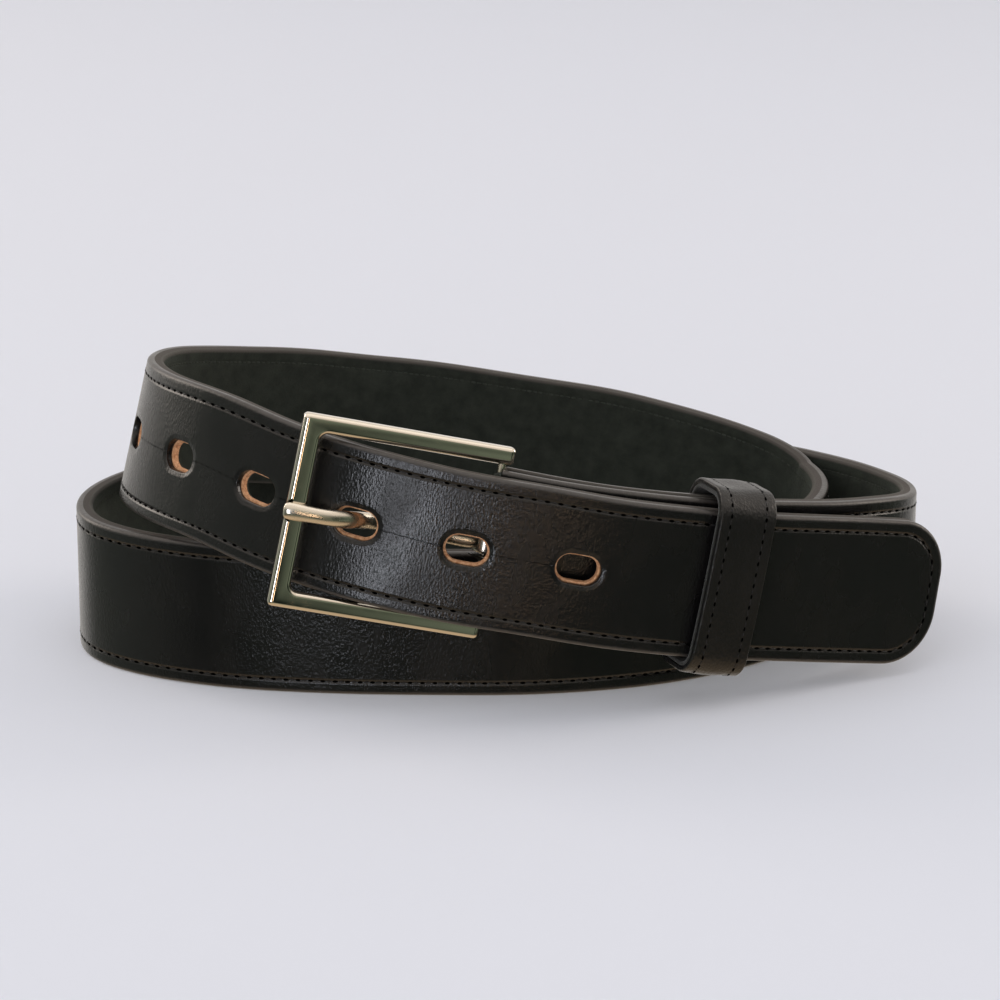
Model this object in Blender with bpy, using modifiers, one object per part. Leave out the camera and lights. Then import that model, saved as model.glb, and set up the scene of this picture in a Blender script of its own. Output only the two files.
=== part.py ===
# Dress belt, buckled on itself and rolled into two turns that stand on the lower edge.
# Millimetres below are turned into metres when a mesh is made.
import bpy
import bmesh
import numpy as np
from math import pi, cos, sin, radians
from mathutils import Vector, Matrix

for old in list(bpy.data.objects):
    bpy.data.objects.remove(old)

# ---- driving dimensions, mm ----
strap_width = 35.0
face_thick = 1.6
core_thick = 0.9
lining_thick = 0.9
layer_gap = 0.3
strap_thick = face_thick + core_thick + lining_thick + 2 * layer_gap
fold_thick = face_thick + lining_thick + layer_gap      # the core is skived away at the fold
seam_inset = 3.2
thread_radius = 0.25
edge_chamfer = 0.4
tip_corner = 13.0
hole_length = 10.6
hole_width = 7.2
hole_first = 95.6          # from the tip
hole_pitch = 25.6
hole_count = 7
bar_radius = 1.0
bar_turn = bar_radius + layer_gap + fold_thick - strap_thick / 2   # centre line round the bar
fold_length = 61.0
fold_apart = 2.3           # centre lines of the strap and its fold where they lie together
slot_length = 24.0
slot_width = 6.4
core_start = 68.0
frame_length = 45.0        # heel bar to front bar
frame_inside = 37.0
arm_width = 4.1
front_width = 4.6
frame_thick = 3.4
prong_width = 4.2
prong_thick = 2.8
keeper_place = 54.6        # along the strap from the heel bar
keeper_width = 14.0
keeper_height = 39.8
keeper_corner = 3.8
keeper_twist = 3.0         # degrees, foot of the loop towards the buckle
keeper_face_thick = 1.3
keeper_lining_thick = 0.7

# centre line of the strap from the heel bar to the tip:
# x, y, height of the lower edge, lean of the wall in degrees (top towards the inside)
route = [
    (-3, -54.0, 23.5, 6), (12, -53.1, 20.3, 4.5), (28, -50.6, 17.2, 3), (42, -47.0, 14.7, 1),
    (54, -42.7, 12.7, 0), (66, -36.5, 10.7, -1), (77, -29.5, 8.7, -2), (87, -21, 6.8, -2),
    (94.4, -11.5, 4.8, -2), (98.4, -1, 3, 0), (98, 9.5, 2, 0), (94.5, 18.5, 1.5, 0),
    (88, 27.5, 1.5, 0), (79.5, 36, 1.5, 0), (70.5, 43, 1.5, 0), (60, 48.5, 1, 0), (47, 52.5, 1, 0),
    (32, 55.5, 1, 0), (16, 57.2, 0.5, 0), (0, 58, 0.5, 0), (-16, 58.3, 0, 0), (-32, 56.6, 0, 0),
    (-48, 52.8, 0, 0), (-63.5, 46.8, 0, 0), (-77, 39, 0, 0), (-88, 29.6, 0, 0), (-95.5, 19, 0, 0),
    (-99.5, 8, 0, 0), (-100, -4, 0, 0), (-96.5, -15, 0, 0), (-88.5, -24, 0, 0), (-77, -31, 0, 0),
    (-62, -36.5, 0, 0), (-46, -39.5, 0, 0), (-30, -41, 0, 0), (-14, -41.5, 0, 0),
    (2, -41.5, 0, 0), (18, -39.5, 0, 0), (33, -35.5, 0, 0), (47, -29, 0, 0), (59, -20.5, 0, 0),
    (68.5, -11, 0, 0), (75, 0, 0, 0), (78.2, 11, 0.2, 0), (78.3, 21, 0.5, 0), (75.5, 30, 1.5, 0),
    (69.5, 37, 3.5, 0), (62, 41.8, 5.5, 0), (52.5, 44.8, 8, 0), (42, 47.3, 10.5, 0),
    (28, 49.8, 14, 0), (13, 51.5, 16.5, 0), (-2, 52.3, 19, 0), (-18, 52.3, 21.5, 0),
    (-34, 50, 23.5, 0), (-49, 45.5, 26, 2), (-63, 39, 28.5, 5), (-74, 31.5, 31, 9),
    (-81.5, 22, 33.3, 12), (-85.3, 11, 35, 13), (-86, -1.6, 36.2, 13), (-82.6, -14.2, 36.8, 13),
    (-75.2, -27, 37.2, 13), (-65, -38.7, 36.8, 13), (-51.5, -49.2, 34, 12), (-37, -56.5, 30.8, 9),
    (-22, -59.8, 27.5, 7), (-6, -60.9, 24, 5), (10, -60.4, 21, 3), (26, -58.3, 17.6, 1),
    (42, -53.9, 14.3, 0), (57, -47.9, 11.2, -1), (72, -40.3, 8.2, -1), (86, -32, 5.1, 0),
    (94.5, -27.4, 3.3, 0), (103, -22.6, 1.6, 0)]

mm = 0.001
belt = bpy.data.collections.new("leather_belt")
cutters = bpy.data.collections.new("cutters")
for group in (belt, cutters):
    bpy.context.scene.collection.children.link(group)


def shade(name, colour, roughness, metallic):
    mat = bpy.data.materials.new(name)
    mat.use_nodes = True
    shader = mat.node_tree.nodes["Principled BSDF"]
    shader.inputs["Base Color"].default_value = (*colour, 1)
    shader.inputs["Roughness"].default_value = roughness
    shader.inputs["Metallic"].default_value = metallic
    return mat


black_leather = shade("black_leather", (0.012, 0.012, 0.013), 0.42, 0)
tan_leather = shade("tan_leather", (0.55, 0.26, 0.12), 0.7, 0)
lining_leather = shade("lining_leather", (0.02, 0.024, 0.022), 0.85, 0)
black_thread = shade("black_thread", (0.01, 0.01, 0.01), 0.6, 0)
nickel = shade("polished_nickel", (0.72, 0.68, 0.62), 0.12, 1)


# ---- the route as a smooth curve ----
def smooth(points):
    # natural cubic spline over the chord length, read every third of a millimetre
    pts = np.array(points, float)
    chord = np.r_[0, np.cumsum(np.linalg.norm(np.diff(pts[:, :3], axis=0), axis=1))]
    step = np.diff(chord)
    count = len(pts)
    grid = np.eye(count)
    right = np.zeros_like(pts)
    for i in range(1, count - 1):
        grid[i, i - 1:i + 2] = step[i - 1], 2 * (step[i - 1] + step[i]), step[i]
        right[i] = 6 * ((pts[i + 1] - pts[i]) / step[i] - (pts[i] - pts[i - 1]) / step[i - 1])
    bend = np.linalg.solve(grid, right)
    at = np.linspace(0, chord[-1], int(chord[-1] * 3))
    i = np.clip(np.searchsorted(chord, at) - 1, 0, count - 2)
    a = ((chord[i + 1] - at) / step[i])[:, None]
    b = 1 - a
    h = step[i][:, None]
    return a * pts[i] + b * pts[i + 1] + ((a ** 3 - a) * bend[i] + (b ** 3 - b) * bend[i + 1]) * h * h / 6


def unit(rows):
    return rows / np.linalg.norm(rows, axis=-1, keepdims=True)


def axes(centre, lean):
    along = unit(np.gradient(centre, axis=0))
    up = unit(np.array([0, 0, 1.0]) - along[:, 2:] * along)
    out = np.cross(along, up)
    up = up * np.cos(lean) - out * np.sin(lean)
    return along, up, np.cross(along, up)


curve = smooth(route)
leaning = np.radians(curve[:, 3:])
lift = axes(curve[:, :3], leaning)[1][:, 2]
centre = curve[:, :3] + np.c_[0 * lift, 0 * lift, strap_width / 2 * lift]
centre += np.array([-0.9, 1.7, 0.06])      # sets the roll over the middle of its own footprint
along, up, out = axes(centre, leaning)
length = np.r_[0, np.cumsum(np.linalg.norm(np.diff(centre, axis=0), axis=1))]
strap_length = length[-1]
print("strap from heel bar to tip, mm", round(strap_length, 1))


def read(table, s):
    return np.array([np.interp(s, length, table[:, k]) for k in range(3)])


def ramp(s, start, end):
    f = min(max((s - start) / (end - start), 0), 1)
    return f * f * (3 - 2 * f)


half_turn = pi * bar_turn
bar_centre = centre[0] - out[0] * bar_turn


def bend(s, n, u):
    # s along the strap, n outward from its centre line, u up from the middle of its width
    if s >= 0:
        p, o, w = read(centre, s), read(out, s), read(up, s)
    elif s > -half_turn:
        turn = pi * -s / half_turn
        o = out[0] * cos(turn) - along[0] * sin(turn)
        p, w = bar_centre + o * bar_turn, up[0]
    else:
        back = -s - half_turn
        o, w = -read(out, back), read(up, back)
        apart = 2 * bar_turn + (fold_apart - 2 * bar_turn) * ramp(back, 0, 34)
        p = read(centre, back) + o * apart
    return p + o * n + w * u


hole_places = [strap_length - hole_first - hole_pitch * k for k in range(hole_count)]


def all_stations():
    # where the flat blanks are folded: close together in tight bends
    marks = list(np.arange(-half_turn - fold_length, -half_turn - 3, 7.5))
    marks += [-half_turn * k / 10 for k in range(10, -1, -1)]
    s = 0
    while s < strap_length - 9:
        turned = read(along, max(s - 3, 0)) @ read(along, min(s + 9, strap_length))
        s += 5.5 if turned < 0.95 else 7.5 if turned < 0.99 else 9
        for place in hole_places:
            for rim in (place - hole_length / 2, place + hole_length / 2):
                if abs(s - rim) < 0.8:
                    s = rim + 0.9
        marks.append(s)
    return marks


master = all_stations()


def stations(start, end):
    return [m for m in master if start + 1 < m < end - 2]


# ---- flat blanks, cut and then bent ----
def outline(start, end, inset):
    half = strap_width / 2 - inset
    r = tip_corner - inset
    pts = [(start, half), (start, -half)]
    if end > strap_length - 1:
        end -= inset
        for side in (-1, 1):
            for k in range(9):
                a = pi / 16 * k
                q = (end - r + r * sin(a), side * (half - r + r * cos(a)))
                pts.append(q) if side < 0 else pts.insert(len(pts) - k, q)
    else:
        pts += [(end, -half), (end, half)]
    return pts


def blank(start, end, low, high, chamfer):
    mesh = bmesh.new()
    rings = [(low, 0)]
    if chamfer:
        rings.append((high - chamfer, 0))
    rings.append((high, chamfer))
    loops = [[mesh.verts.new((s, u, n)) for s, u in outline(start, end, inset)] for n, inset in rings]
    mesh.faces.new(loops[0])
    mesh.faces.new(loops[-1])
    for lower, upper in zip(loops, loops[1:]):
        for k in range(len(lower)):
            j = (k + 1) % len(lower)
            mesh.faces.new((lower[k], lower[j], upper[j], upper[k]))
    bmesh.ops.recalc_face_normals(mesh, faces=mesh.faces)
    return mesh


def obround(length_, width_, height, at):
    mesh = bmesh.new()
    bmesh.ops.create_cone(mesh, cap_ends=True, segments=16, radius1=width_ / 2, radius2=width_ / 2,
                          depth=height)
    shift = (length_ - width_) / 2
    for v in mesh.verts:
        v.co.x += at + (shift if v.co.x > 0.01 else -shift if v.co.x < -0.01 else 0)
    return mesh


def to_object(mesh, name, group, mat=None, scale=mm):
    data = bpy.data.meshes.new(name)
    bmesh.ops.scale(mesh, vec=(scale,) * 3, verts=mesh.verts)
    mesh.to_mesh(data)
    mesh.free()
    ob = bpy.data.objects.new(name, data)
    group.objects.link(ob)
    if mat:
        data.materials.append(mat)
    return ob


def cut(ob, cutter, operation="DIFFERENCE"):
    cutter.hide_render = True
    cutter.display_type = "WIRE"
    mod = ob.modifiers.new("cut", "BOOLEAN")
    mod.operation = operation
    mod.object = cutter


def settle(ob):
    # puts the evaluated mesh in place of the modifiers
    graph = bpy.context.evaluated_depsgraph_get()
    graph.update()
    data = bpy.data.meshes.new_from_object(ob.evaluated_get(graph))
    ob.modifiers.clear()
    ob.data = data
    return data


def strap_layer(name, start, end, low, high, chamfer, mat, thin_from=None):
    flat = blank(start, end, low, high, chamfer)
    for s in stations(start, end):
        everything = flat.verts[:] + flat.edges[:] + flat.faces[:]
        bmesh.ops.bisect_plane(flat, geom=everything, plane_co=(s, 0, 0), plane_no=(1, 0, 0))
    ob = to_object(flat, name, belt, mat, 1)
    tools = []
    for place in hole_places:
        tools.append(to_object(obround(hole_length, hole_width, 20, place), "tool", cutters, None, 1))
    if start < 0:
        slot = obround(slot_length, slot_width, 20, -half_turn / 2)
        tools.append(to_object(slot, "tool", cutters, None, 1))
    for tool in tools:
        cut(ob, tool)
    mesh = bmesh.new()
    mesh.from_mesh(settle(ob))
    for tool in tools:
        bpy.data.objects.remove(tool)
    for v in mesh.verts:
        s, u, n = v.co
        if thin_from is not None:
            n += (strap_thick - fold_thick) * (1 - ramp(s, thin_from, thin_from + 12))
        v.co = bend(s, n, u)
    bmesh.ops.triangulate(mesh, faces=[f for f in mesh.faces if len(f.verts) > 4])
    bmesh.ops.scale(mesh, vec=(mm, mm, mm), verts=mesh.verts)
    mesh.to_mesh(ob.data)
    mesh.free()
    return ob


top = strap_thick / 2
fold_end = -half_turn - fold_length
core_top = top - face_thick - layer_gap
strap_layer("strap_face", fold_end, strap_length, top - face_thick, top, edge_chamfer, black_leather)
strap_layer("strap_core", core_start, strap_length, core_top - core_thick, core_top, 0, tan_leather)
strap_layer("strap_lining", fold_end, strap_length, -top, -top + lining_thick, 0, lining_leather,
            core_start - 14)


# ---- threads ----
def wire(name, points, radius, mat, closed=False, group=belt, sides=0):
    data = bpy.data.curves.new(name, "CURVE")
    data.dimensions = "3D"
    data.bevel_depth = radius * mm
    data.bevel_resolution = sides
    data.use_fill_caps = not closed
    line = data.splines.new("POLY")
    line.points.add(len(points) - 1)
    for knot, p in zip(line.points, points):
        knot.co = (*(Vector(p) * mm), 1)
    line.use_cyclic_u = closed
    data.materials.append(mat)
    ob = bpy.data.objects.new(name, data)
    group.objects.link(ob)
    return ob


def edge_seam(name, start, n, lift_from=None):
    half = strap_width / 2 - seam_inset
    r = tip_corner - seam_inset
    end = strap_length - seam_inset
    marks = [start] + stations(start, end - r - 2)
    line = [(s, -half) for s in marks]
    line += [(end - r + r * sin(pi / 12 * k), -half + r - r * cos(pi / 12 * k)) for k in range(7)]
    line += [(s, -u) for s, u in reversed(line)]
    points = []
    for s, u in line:
        rise = 0
        if lift_from is not None:
            rise = (strap_thick - fold_thick) * (1 - ramp(s, lift_from, lift_from + 12))
        points.append(bend(s, n + rise, u))
    return wire(name, points, thread_radius, black_thread)


edge_seam("seam_thread_face", 8, top + thread_radius + 0.08)
edge_seam("seam_thread_lining", core_start + 6, -top - thread_radius - 0.08)

for name, back in (("fold_seam_bar", 19), ("fold_seam_end", 44)):
    row = [bend(-half_turn - back, top + 0.4, u) for u in np.linspace(-13, 13, 5)]
    wire(name, row, 0.3, black_thread, sides=1)


# ---- buckle: local x from the heel bar to the front bar, y up the bars, z outward ----
heel = bar_centre
bar_up = up[0]
reach = np.array([-47.6, -57.9, 49.2]) - heel
reach = unit(reach - (reach @ bar_up) * bar_up)
outward = np.cross(reach, bar_up)
outward *= np.sign(outward @ out[0])
place = Matrix([[*row, h] for row, h in zip(np.c_[reach, bar_up * np.sign(np.cross(outward, reach) @ bar_up),
                                                   outward], heel * mm)] + [[0, 0, 0, 1]])
print("heel bar centre, mm", heel.round(2), "axis", bar_up.round(4), "reach", reach.round(4))


def box(size, at):
    mesh = bmesh.new()
    bmesh.ops.create_cube(mesh, size=1, matrix=Matrix.Translation(at) @ Matrix.Diagonal((*size, 1)))
    return mesh


def rod(radius, depth, at, turn, segments=24):
    mesh = bmesh.new()
    bmesh.ops.create_cone(mesh, cap_ends=True, segments=segments, radius1=radius, radius2=radius,
                          depth=depth, matrix=Matrix.Translation(at) @ turn)
    return mesh


along_bar = Matrix.Rotation(pi / 2, 4, "X")
along_reach = Matrix.Rotation(pi / 2, 4, "Y")
full_height = frame_inside + 2 * arm_width
arm_end = -2.3
frame = to_object(box((frame_length + front_width / 2 - arm_end, full_height, frame_thick),
                      ((frame_length + front_width / 2 + arm_end) / 2, 0, 0)), "buckle_frame", belt, nickel)
opening = to_object(box((frame_length - front_width / 2 + 10, frame_inside, 20),
                        ((frame_length - front_width / 2 - 10) / 2, 0, 0)), "opening", cutters)
pin_hole = to_object(rod(bar_radius + 0.3, frame_inside + arm_width, (0, 0, 0), along_bar), "pin_hole",
                     cutters)
notch = to_object(rod(3.4, 12, (frame_length, 0, frame_thick / 2 + 2.1), along_reach), "notch", cutters)
for cutter in (opening, pin_hole, notch):
    cut(frame, cutter)
soften = frame.modifiers.new("soften", "BEVEL")
soften.width = 0.45 * mm
soften.limit_method = "ANGLE"
soften.angle_limit = radians(40)
soften.segments = 1

bar_length = frame_inside + arm_width - 0.6
bar = to_object(rod(bar_radius, bar_length, (0, 0, 0), along_bar, 16), "heel_bar", belt, nickel)

# prong: its side view as an outline, extruded across, with the eye joined on
lay = [(1.5, 1.7), (7, 1.0), (13, -0.4), (19, -1.9), (23.5, -2.8), (27, -2.2), (30.8, 0.1), (34.6, 2.4),
       (38, 3.1), (41.5, 3.1), (45, 2.8), (48.2, 2.4)]
path = np.array(lay)
slope = unit(np.gradient(path, axis=0))
side = np.c_[-slope[:, 1], slope[:, 0]]
thick = np.interp(path[:, 0], [0, 30, 42, 48.2], [1.3, 1.4, 1.3, 1.0])[:, None]
ring = np.r_[path + side * thick, (path - side * thick)[::-1]]
mesh = bmesh.new()
face = mesh.faces.new([mesh.verts.new((x, -prong_width / 2, z)) for x, z in ring])
pushed = bmesh.ops.extrude_face_region(mesh, geom=[face])["geom"]
bmesh.ops.translate(mesh, vec=(0, prong_width, 0),
                    verts=[g for g in pushed if isinstance(g, bmesh.types.BMVert)])
bmesh.ops.recalc_face_normals(mesh, faces=mesh.faces)
prong = to_object(mesh, "prong", belt, nickel)
eye = to_object(rod(bar_radius + 0.3 + 1.9, prong_width + 0.6, (0, 0, 0), along_bar), "eye", cutters)
eye_hole = to_object(rod(bar_radius + 0.3, 20, (0, 0, 0), along_bar), "eye_hole", cutters)
cut(prong, eye, "UNION")
cut(prong, eye_hole)

for ob in (frame, opening, pin_hole, notch, bar, prong, eye, eye_hole):
    ob.matrix_world = place
for ob in (bar, prong):
    rounder = ob.modifiers.new("soften", "BEVEL")
    rounder.width = (0.35 if ob is bar else 0.7) * mm
    rounder.limit_method = "ANGLE"
    rounder.angle_limit = radians(50)
    rounder.segments = 1 if ob is bar else 2
for tool in (opening, pin_hole, notch, eye, eye_hole):
    tool.hide_render = True

# ---- keeper: local x along the strap, y outward, z up ----
at = keeper_place
k_along, k_up, k_out = read(along, at), read(up, at), read(out, at)
tip_out = 0
tip_index = np.argmin(np.linalg.norm(centre[length > strap_length - 110] - read(centre, at), axis=1))
tip_point = centre[length > strap_length - 110][tip_index]
gap = (tip_point - read(centre, at)) @ k_out
rise = (tip_point - read(centre, at)) @ k_up
print("tip strap outside the buckle strap at the keeper, mm", round(gap, 2), "higher by", round(rise, 2))
inner_n = -fold_apart - top - 1.1
outer_n = gap + top + 1.2
keeper_depth = outer_n - inner_n
keeper_middle = read(centre, at) + k_out * (outer_n + inner_n) / 2 + k_up * rise / 2
keeper_spot = Matrix([[*row, h] for row, h in zip(np.c_[k_along, -k_out, k_up], keeper_middle * mm)]
                     + [[0, 0, 0, 1]])
if keeper_spot.to_3x3().determinant() < 0:
    keeper_spot = Matrix([[*row, h] for row, h in zip(np.c_[k_along, k_out, k_up], keeper_middle * mm)]
                         + [[0, 0, 0, 1]])
keeper_spot = keeper_spot @ Matrix.Rotation(radians(keeper_twist), 4, "Y")
print("keeper middle, mm", keeper_middle.round(2), "along", k_along.round(4), "depth", round(keeper_depth, 2))


def rounded(depth, height, radius, steps=4):
    pts = []
    for quarter in range(4):
        cy = (depth / 2 - radius) * (1 if quarter in (0, 3) else -1)
        cz = (height / 2 - radius) * (1 if quarter in (0, 1) else -1)
        for k in range(steps + 1):
            a = pi / 2 * (quarter + k / steps)
            pts.append((cy + radius * cos(a), cz + radius * sin(a)))
    return pts


def sleeve(name, off_in, off_out, mat):
    mesh = bmesh.new()
    rows = []
    for off in (off_in, off_out):
        for x in (-keeper_width / 2, keeper_width / 2):
            shape = rounded(keeper_depth + 2 * off, keeper_height + 2 * off, keeper_corner + off)
            rows.append([mesh.verts.new((x, y, z)) for y, z in shape])
    order = [rows[0], rows[1], rows[3], rows[2]]
    for a, b in zip(order, order[1:] + order[:1]):
        for k in range(len(a)):
            j = (k + 1) % len(a)
            mesh.faces.new((a[k], a[j], b[j], b[k]))
    bmesh.ops.recalc_face_normals(mesh, faces=mesh.faces)
    ob = to_object(mesh, name, belt, mat)
    ob.matrix_world = keeper_spot
    return ob


sleeve("keeper_lining", 0, keeper_lining_thick, lining_leather)
wall = keeper_lining_thick + layer_gap + keeper_face_thick
sleeve("keeper_face", keeper_lining_thick + layer_gap, wall, black_leather)
for name, x in (("keeper_seam_left", -1), ("keeper_seam_right", 1)):
    off = wall + 0.32
    row = [(x * (keeper_width / 2 - 2.8), y, z)
           for y, z in rounded(keeper_depth + 2 * off, keeper_height + 2 * off, keeper_corner + off)]
    seam = wire(name, row, thread_radius, black_thread, closed=True)
    seam.matrix_world = keeper_spot

for ob in belt.objects:
    if ob.type == "MESH":
        ob.data.shade_smooth()
        ob.data.set_sharp_from_angle(angle=radians(35))
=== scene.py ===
from math import pi, cos, sin, radians
import bpy
import bmesh
import numpy as np
from mathutils import Vector, Matrix


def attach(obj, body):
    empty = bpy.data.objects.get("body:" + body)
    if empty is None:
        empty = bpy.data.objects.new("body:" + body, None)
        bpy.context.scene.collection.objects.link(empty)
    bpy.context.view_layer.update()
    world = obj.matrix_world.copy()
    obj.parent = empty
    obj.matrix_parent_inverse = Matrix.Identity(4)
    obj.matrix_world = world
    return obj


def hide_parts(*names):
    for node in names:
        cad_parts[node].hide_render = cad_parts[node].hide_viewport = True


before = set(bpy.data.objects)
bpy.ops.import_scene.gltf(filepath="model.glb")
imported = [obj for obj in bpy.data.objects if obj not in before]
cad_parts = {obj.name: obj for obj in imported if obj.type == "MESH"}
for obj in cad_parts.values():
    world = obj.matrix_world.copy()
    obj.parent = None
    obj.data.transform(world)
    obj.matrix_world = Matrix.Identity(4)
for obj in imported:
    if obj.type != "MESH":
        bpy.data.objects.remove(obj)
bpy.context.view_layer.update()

mm = 0.001


# ---- small helpers ----
def clearSelection():
    if bpy.context.object and bpy.context.object.mode != "OBJECT":
        bpy.ops.object.mode_set(mode="OBJECT")
    bpy.ops.object.select_all(action="DESELECT")


def choose(ob):
    clearSelection()
    bpy.context.view_layer.objects.active = ob
    ob.select_set(True)


def pick(ob, kind, test):
    # edit mode, with the verts, edges or faces that pass the test selected
    choose(ob)
    bpy.ops.object.mode_set(mode="EDIT")
    bpy.ops.mesh.select_mode(type={"verts": "VERT", "edges": "EDGE", "faces": "FACE"}[kind])
    bpy.ops.mesh.select_all(action="DESELECT")
    mesh = bmesh.from_edit_mesh(ob.data)
    for item in getattr(mesh, kind):
        if test(item):
            item.select_set(True)
    mesh.select_flush_mode()
    bmesh.update_edit_mesh(ob.data)


def block(name, size, at):
    # a cube primitive at its real size and place, mm
    clearSelection()
    bpy.ops.mesh.primitive_cube_add(size=1, location=[a * mm for a in at])
    ob = bpy.context.object
    ob.name = name
    ob.scale = [a * mm for a in size]
    bpy.ops.object.transform_apply(location=True, rotation=False, scale=True)
    return ob


def rod(name, radius, depth, at, axis="Z", sides=48):
    clearSelection()
    turn = {"X": (0, pi / 2, 0), "Y": (pi / 2, 0, 0), "Z": (0, 0, 0)}[axis]
    bpy.ops.mesh.primitive_cylinder_add(vertices=sides, radius=radius * mm, depth=depth * mm,
                                        location=[a * mm for a in at], rotation=turn)
    ob = bpy.context.object
    ob.name = name
    bpy.ops.object.transform_apply(location=True, rotation=True, scale=False)
    return ob


def useModifier(ob, kind, **settings):
    choose(ob)
    mod = ob.modifiers.new(kind.lower(), kind)
    for key, value in settings.items():
        setattr(mod, key, value)
    bpy.ops.object.modifier_apply(modifier=mod.name)


def cutWith(ob, tool, operation="DIFFERENCE"):
    useModifier(ob, "BOOLEAN", object=tool, operation=operation, solver="EXACT")
    bpy.data.objects.remove(tool)


def soften(ob, degrees=35):
    choose(ob)
    bpy.ops.object.shade_smooth_by_angle(angle=radians(degrees))


def join(first, others):
    clearSelection()
    for ob in [first, *others]:
        ob.select_set(True)
    bpy.context.view_layer.objects.active = first
    bpy.ops.object.join()


def coords(ob):
    co = np.zeros(len(ob.data.vertices) * 3)
    ob.data.vertices.foreach_get("co", co)
    return co.reshape(-1, 3)


def setCoords(ob, co):
    ob.data.vertices.foreach_set("co", np.asarray(co, float).ravel())
    ob.data.update()


def paint(ob, *mats):
    ob.data.materials.clear()
    for mat in mats:
        ob.data.materials.append(mat)


# ---- the strap's route: x, y, height of the lower edge, lean in degrees, from heel bar to tip ----
route = [
    (-3, -54.0, 23.5, 6), (12, -53.1, 20.3, 4.5), (28, -50.6, 17.2, 3), (42, -47.0, 14.7, 1),
    (54, -42.7, 12.7, 0), (66, -36.5, 10.7, -1), (77, -29.5, 8.7, -2), (87, -21, 6.8, -2),
    (94.4, -11.5, 4.8, -2), (98.4, -1, 3, 0), (98, 9.5, 2, 0), (94.5, 18.5, 1.5, 0),
    (88, 27.5, 1.5, 0), (79.5, 36, 1.5, 0), (70.5, 43, 1.5, 0), (60, 48.5, 1, 0), (47, 52.5, 1, 0),
    (32, 55.5, 1, 0), (16, 57.2, 0.5, 0), (0, 58, 0.5, 0), (-16, 58.3, 0, 0), (-32, 56.6, 0, 0),
    (-48, 52.8, 0, 0), (-63.5, 46.8, 0, 0), (-77, 39, 0, 0), (-88, 29.6, 0, 0), (-95.5, 19, 0, 0),
    (-99.5, 8, 0, 0), (-100, -4, 0, 0), (-96.5, -15, 0, 0), (-88.5, -24, 0, 0), (-77, -31, 0, 0),
    (-62, -36.5, 0, 0), (-46, -39.5, 0, 0), (-30, -41, 0, 0), (-14, -41.5, 0, 0),
    (2, -41.5, 0, 0), (18, -39.5, 0, 0), (33, -35.5, 0, 0), (47, -29, 0, 0), (59, -20.5, 0, 0),
    (68.5, -11, 0, 0), (75, 0, 0, 0), (78.2, 11, 0.2, 0), (78.3, 21, 0.5, 0), (75.5, 30, 1.5, 0),
    (69.5, 37, 4.3, 0), (62, 41.8, 6.5, 0), (52.5, 44.8, 9, 0), (42, 47.3, 11.4, 0),
    (28, 49.8, 14.2, 0), (13, 51.5, 16.3, 0), (-2, 52.3, 18.5, 0), (-18, 52.3, 20.9, 0),
    (-34, 50, 23.2, 0), (-49, 45.5, 26, 2), (-63, 39, 28.5, 5), (-74, 31.5, 31, 9),
    (-81.5, 22, 33.3, 12), (-85.3, 11, 35, 13), (-86, -1.6, 36.2, 13), (-82.6, -14.2, 36.8, 13),
    (-75.2, -27, 37.2, 13), (-65, -38.7, 36.8, 13), (-51.5, -49.2, 34, 12), (-37, -56.5, 30.8, 9),
    (-22, -59.8, 27.5, 7), (-6, -60.9, 24, 5), (10, -60.4, 21, 3), (26, -58.3, 17.6, 1),
    (42, -53.9, 14.3, 0), (57, -47.9, 11.2, -1), (72, -40.3, 8.2, -1), (86, -32, 5.1, 0),
    (94.5, -27.4, 3.3, 0), (103, -22.6, 1.6, 0)]

strap = {
    "width": 35.0, "half thickness": 2.0, "face": 1.6, "core": 1.5, "lining": 0.9,
    "turn at the bar": 2.1, "fold length": 61.0, "fold apart": 2.3, "core start": 54.0, "core full": 66.0,
    "tip corner": 13.0, "step": 2.0,
    "hole length": 10.6, "hole width": 7.2, "first hole": 95.6, "hole pitch": 25.6, "holes": 7,
    "slot length": 24.0, "slot width": 6.4,
}


def smooth(points):
    # natural cubic spline over the chord length, read every third of a millimetre
    pts = np.array(points, float)
    chord = np.r_[0, np.cumsum(np.linalg.norm(np.diff(pts[:, :3], axis=0), axis=1))]
    step = np.diff(chord)
    count = len(pts)
    grid = np.eye(count)
    right = np.zeros_like(pts)
    for i in range(1, count - 1):
        grid[i, i - 1:i + 2] = step[i - 1], 2 * (step[i - 1] + step[i]), step[i]
        right[i] = 6 * ((pts[i + 1] - pts[i]) / step[i] - (pts[i] - pts[i - 1]) / step[i - 1])
    second = np.linalg.solve(grid, right)
    at = np.linspace(0, chord[-1], int(chord[-1] * 3))
    i = np.clip(np.searchsorted(chord, at) - 1, 0, count - 2)
    a = ((chord[i + 1] - at) / step[i])[:, None]
    b = 1 - a
    h = step[i][:, None]
    return a * pts[i] + b * pts[i + 1] + ((a ** 3 - a) * second[i] + (b ** 3 - b) * second[i + 1]) * h * h / 6


def unit(rows):
    return rows / np.linalg.norm(rows, axis=-1, keepdims=True)


def axes(middle, lean):
    ahead = unit(np.gradient(middle, axis=0))
    rise = unit(np.array([0, 0, 1.0]) - ahead[:, 2:] * ahead)
    side = np.cross(ahead, rise)
    rise = rise * np.cos(lean) - side * np.sin(lean)
    return ahead, rise, np.cross(ahead, rise)


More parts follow.
